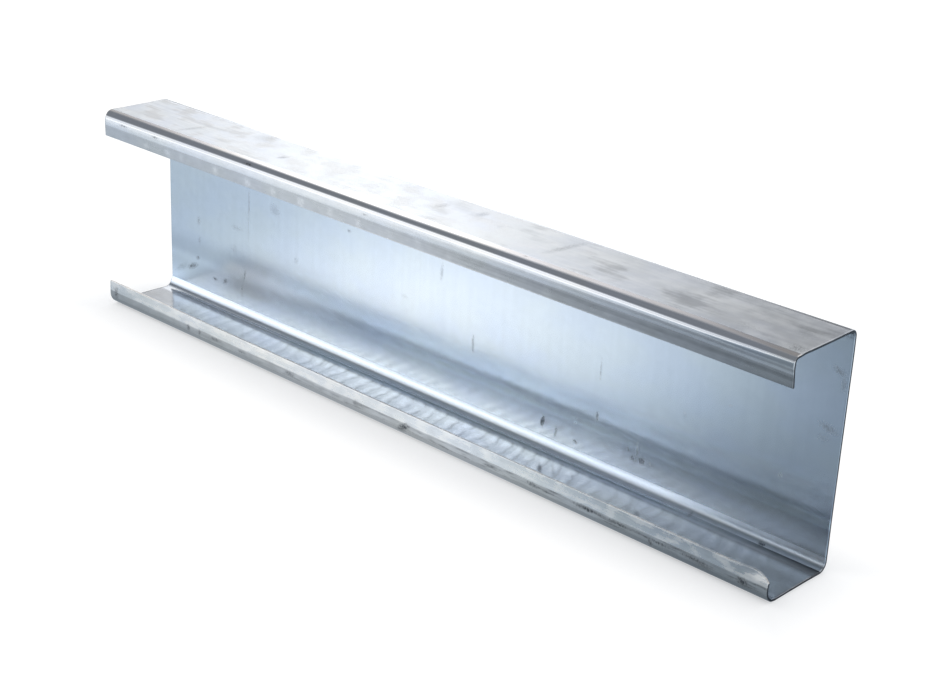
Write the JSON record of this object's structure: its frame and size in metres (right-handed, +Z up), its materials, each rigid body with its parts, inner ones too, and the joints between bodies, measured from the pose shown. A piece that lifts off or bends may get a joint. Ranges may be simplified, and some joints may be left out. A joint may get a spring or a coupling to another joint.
{
  "type": "c-purlin",
  "caption": "Cold-formed lipped channel of galvanised sheet, sheared to length, used as a light roof or wall beam that bolts to cleats.",
  "frame": {"origin": "middle of the footprint, on the underside of the bottom flange", "axes": "+X along the length towards the end with the worn lip corner, +Y out of the web's back, +Z up"},
  "size_m": [0.8, 0.08, 0.2],
  "materials": {
    "galvanised_sheet": "satin hot-dip zinc coating, scuffed and lightly oxidised"
  },
  "bodies": {
    "root": {"c_purlin": "galvanised_sheet"}
  },
  "joints": []
}
